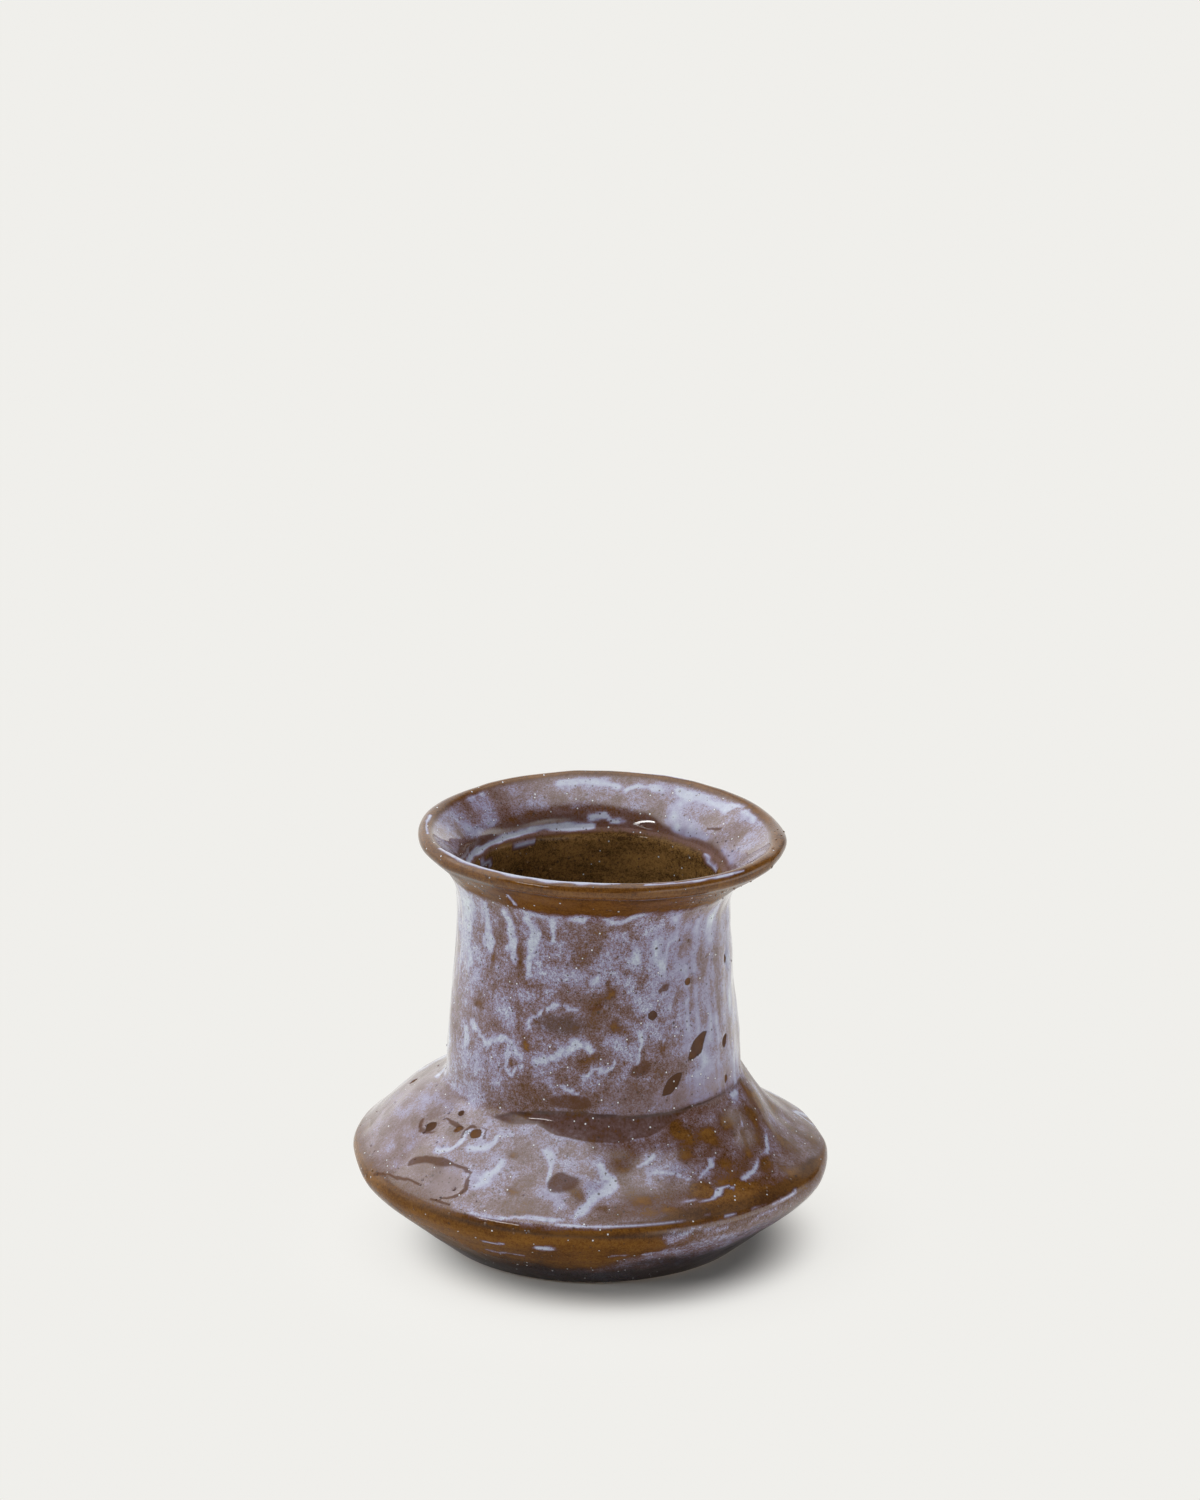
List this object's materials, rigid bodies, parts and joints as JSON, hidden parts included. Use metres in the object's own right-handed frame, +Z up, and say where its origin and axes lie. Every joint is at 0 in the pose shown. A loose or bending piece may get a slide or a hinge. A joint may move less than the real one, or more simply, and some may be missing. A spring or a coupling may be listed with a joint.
{
  "type": "ceramic vase",
  "caption": "Hand-built stoneware vase with a wide keeled body, an upright open neck and a flared rim, glazed blue and lavender over amber brown. Holds flowers or stands as an ornament.",
  "frame": {"origin": "middle of the flat base, on the surface that the vase stands on", "axes": "+Z up through the mouth; the picture looks along +Y, with +X to its right"},
  "size_m": [0.1392, 0.1392, 0.1251],
  "materials": {
    "stoneware": "bare fired clay with iron specks",
    "body_glaze": "glossy blue and lavender over amber brown",
    "rim_glaze": "glossy amber brown with blue streaks",
    "liner_glaze": "glossy dark brown"
  },
  "bodies": {
    "root": {"base_slab": "stoneware", "lower_bowl": "stoneware", "shoulder": "stoneware", "neck": "stoneware", "rim_collar": "stoneware", "body_glaze": "body_glaze", "rim_glaze": "rim_glaze", "liner_glaze": "liner_glaze"}
  },
  "joints": []
}
